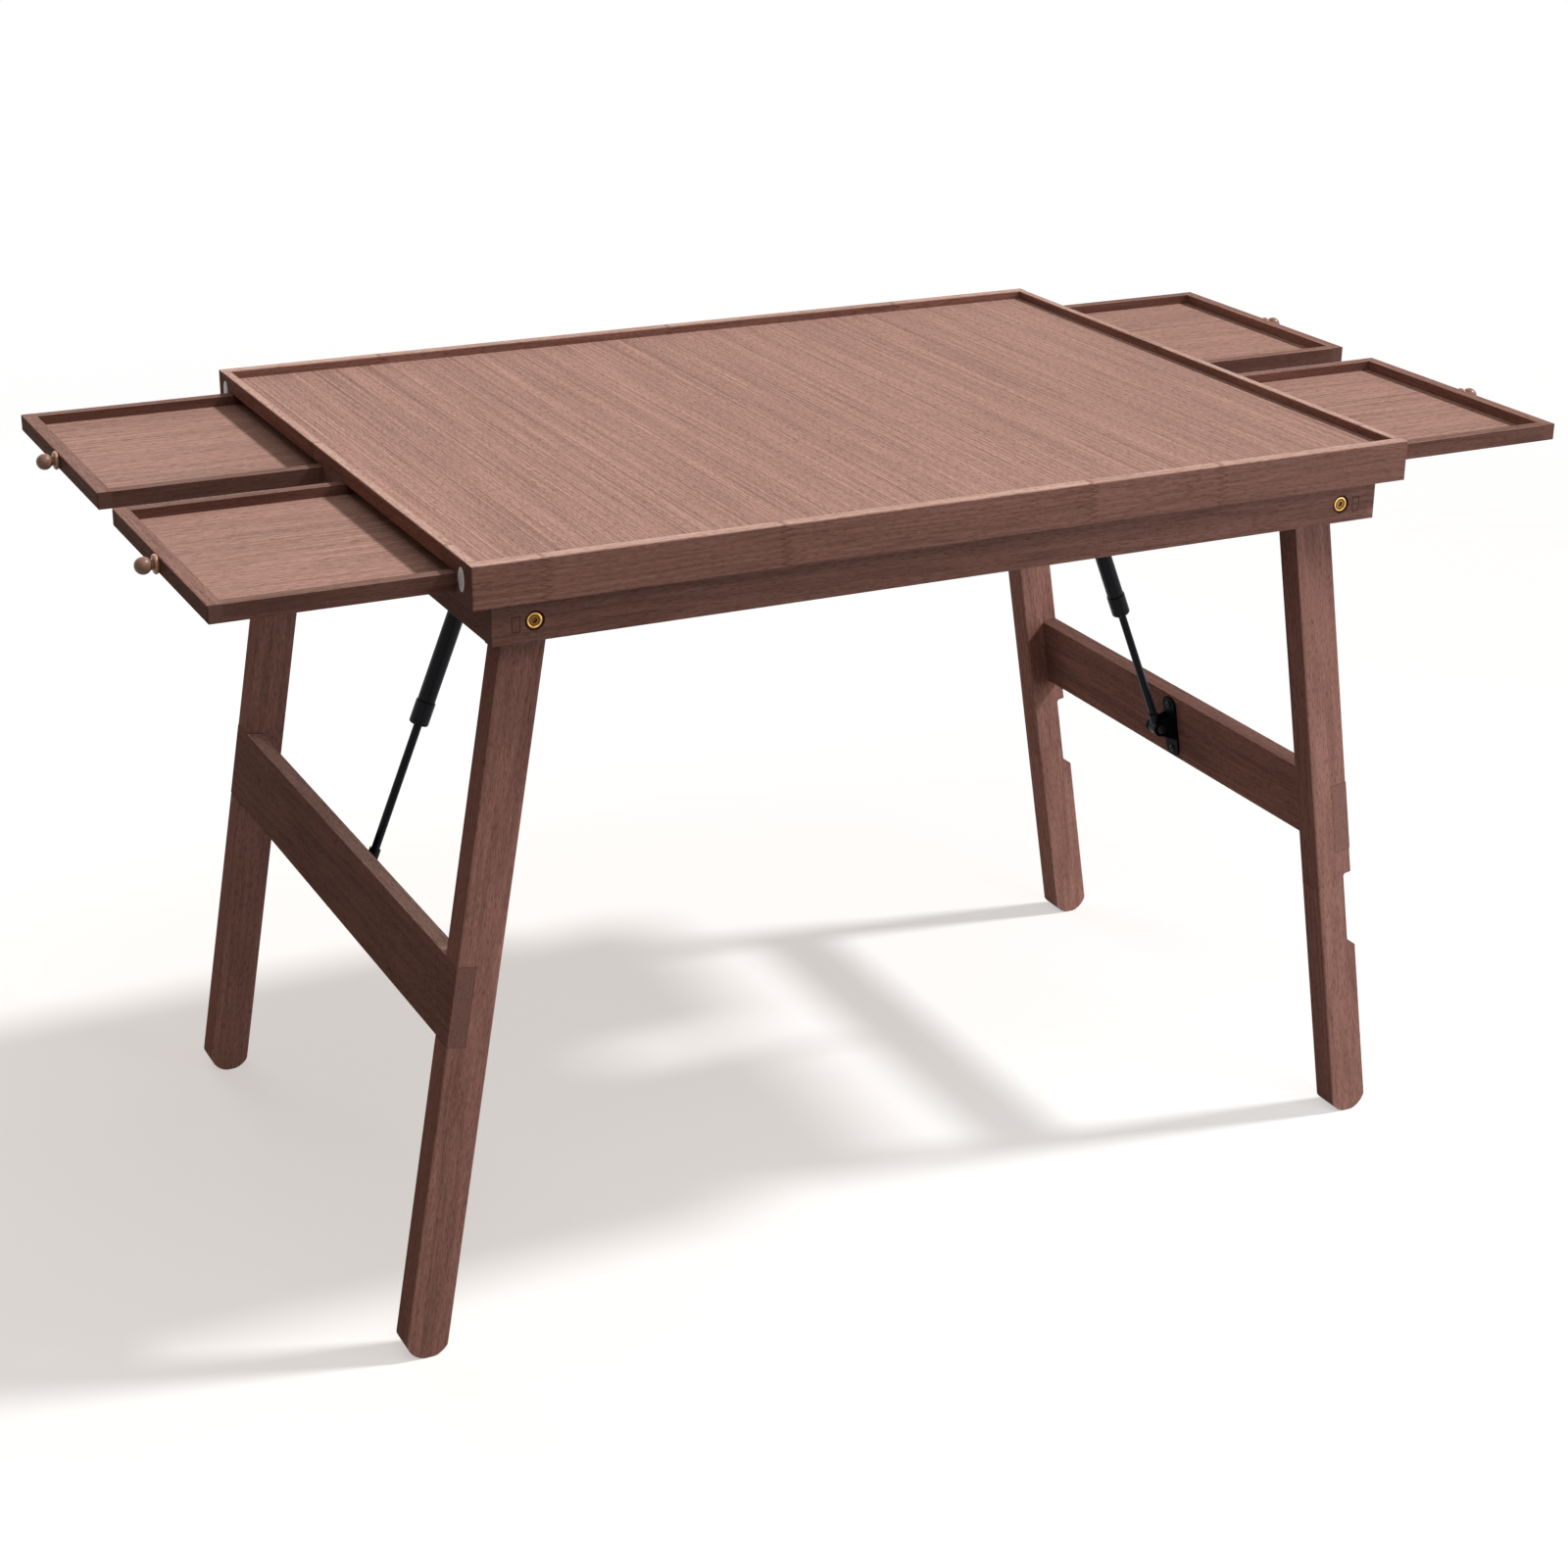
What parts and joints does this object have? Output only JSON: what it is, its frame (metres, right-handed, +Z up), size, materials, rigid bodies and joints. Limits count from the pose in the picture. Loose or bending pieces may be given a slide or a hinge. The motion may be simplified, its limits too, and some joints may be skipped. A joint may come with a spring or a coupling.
{
  "type": "folding jigsaw puzzle table",
  "caption": "Wooden puzzle table with a lipped top, shallow drawers pulled out of both ends and splayed leg pairs that fold up on gas struts.",
  "frame": {"origin": "on the floor, under the middle of the table", "axes": "+X along the table towards the right-hand drawers, +Y from the front rail to the back rail, +Z up"},
  "size_m": [1.369, 0.702, 0.738],
  "materials": {
    "rail_wood": "stained satin",
    "board_wood": "stained satin",
    "apron_wood": "stained satin",
    "runner_wood": "stained matt",
    "leg_wood": "stained satin",
    "drawer_wood": "stained satin",
    "drawer_panel": "stained satin",
    "knob_wood": "turned, stained",
    "plug_white": "matt",
    "bolt_brass": "polished",
    "nut_brass": "polished",
    "packing": "matt",
    "black_steel": "black satin",
    "rod_steel": "black polished",
    "screw_steel": "black"
  },
  "bodies": {
    "table": {"front_rail": "rail_wood", "back_rail": "rail_wood", "left_end_board": "rail_wood", "right_end_board": "rail_wood", "puzzle_board": "board_wood", "side_runners": "runner_wood", "centre_runners": "runner_wood", "drawer_stops": "runner_wood", "strut_blocks": "runner_wood", "front_apron": "apron_wood", "back_apron": "apron_wood", "left_apron": "apron_wood", "right_apron": "apron_wood", "strut_anchors": "black_steel", "anchor_screws": "screw_steel", "pivot_bolts": "bolt_brass", "pivot_cap_nuts": "nut_brass", "pivot_washers": "packing", "pivot_spacers": "packing", "corner_plugs": "plug_white"},
    "left_legs": {"left_front_leg": "leg_wood", "left_rear_leg": "leg_wood", "left_stretcher": "leg_wood", "left_strut_bracket": "black_steel", "left_bracket_screws": "screw_steel", "left_strut_pin": "screw_steel"},
    "left_rod": {"left_strut_rod": "rod_steel", "left_rod_eye": "black_steel"},
    "left_tube": {"left_strut_tube": "black_steel", "left_rod_guide": "black_steel", "left_tube_eye": "black_steel"},
    "left_front_drawer": {"left_front_drawer_front": "drawer_wood", "left_front_drawer_walls": "drawer_wood", "left_front_drawer_bottom": "drawer_panel", "left_front_drawer_knob": "knob_wood"},
    "left_rear_drawer": {"left_rear_drawer_front": "drawer_wood", "left_rear_drawer_walls": "drawer_wood", "left_rear_drawer_bottom": "drawer_panel", "left_rear_drawer_knob": "knob_wood"},
    "right_legs": {"right_front_leg": "leg_wood", "right_rear_leg": "leg_wood", "right_stretcher": "leg_wood", "right_strut_bracket": "black_steel", "right_bracket_screws": "screw_steel", "right_strut_pin": "screw_steel"},
    "right_rod": {"right_strut_rod": "rod_steel", "right_rod_eye": "black_steel"},
    "right_tube": {"right_strut_tube": "black_steel", "right_rod_guide": "black_steel", "right_tube_eye": "black_steel"},
    "right_front_drawer": {"right_front_drawer_front": "drawer_wood", "right_front_drawer_walls": "drawer_wood", "right_front_drawer_bottom": "drawer_panel", "right_front_drawer_knob": "knob_wood"},
    "right_rear_drawer": {"right_rear_drawer_front": "drawer_wood", "right_rear_drawer_walls": "drawer_wood", "right_rear_drawer_bottom": "drawer_panel", "right_rear_drawer_knob": "knob_wood"}
  },
  "joints": [
    {"name": "left_fold", "type": "hinge", "parent": "table", "child": "left_legs", "pos_m": [-0.40074, 0, 0.68025], "axis": [0, -1, 0], "range_deg": [0, 97.8]},
    {"name": "left_rod_turn", "type": "hinge", "parent": "left_legs", "child": "left_rod", "pos_m": [-0.44155, 0, 0.33731], "axis": [0, -1, 0], "range_deg": [0, 16.4]},
    {"name": "left_strut_slide", "type": "slide", "parent": "left_rod", "child": "left_tube", "axis": [0.3708, 0, 0.9287], "range_m": [-0.1136, 0]},
    {"name": "left_front_drawer_slide", "type": "slide", "parent": "table", "child": "left_front_drawer", "axis": [-1, 0, 0], "range_m": [-0.205, 0.1]},
    {"name": "left_rear_drawer_slide", "type": "slide", "parent": "table", "child": "left_rear_drawer", "axis": [-1, 0, 0], "range_m": [-0.205, 0.1]},
    {"name": "right_fold", "type": "hinge", "parent": "table", "child": "right_legs", "pos_m": [0.40074, 0, 0.68025], "axis": [0, 1, 0], "range_deg": [0, 99.4]},
    {"name": "right_rod_turn", "type": "hinge", "parent": "right_legs", "child": "right_rod", "pos_m": [0.44155, 0, 0.33731], "axis": [0, 1, 0], "range_deg": [0, 17]},
    {"name": "right_strut_slide", "type": "slide", "parent": "right_rod", "child": "right_tube", "axis": [-0.3708, 0, 0.9287], "range_m": [-0.1133, 0]},
    {"name": "right_front_drawer_slide", "type": "slide", "parent": "table", "child": "right_front_drawer", "axis": [1, 0, 0], "range_m": [-0.205, 0.1]},
    {"name": "right_rear_drawer_slide", "type": "slide", "parent": "table", "child": "right_rear_drawer", "axis": [1, 0, 0], "range_m": [-0.205, 0.1]}
  ],
  "couplings": [
    {"joint": "left_rod_turn", "follows": "left_fold", "ratio": 0.16694},
    {"joint": "left_strut_slide", "follows": "left_fold", "m_per_rad": -0.06653},
    {"joint": "right_rod_turn", "follows": "right_fold", "ratio": 0.17028},
    {"joint": "right_strut_slide", "follows": "right_fold", "m_per_rad": -0.065299}
  ]
}
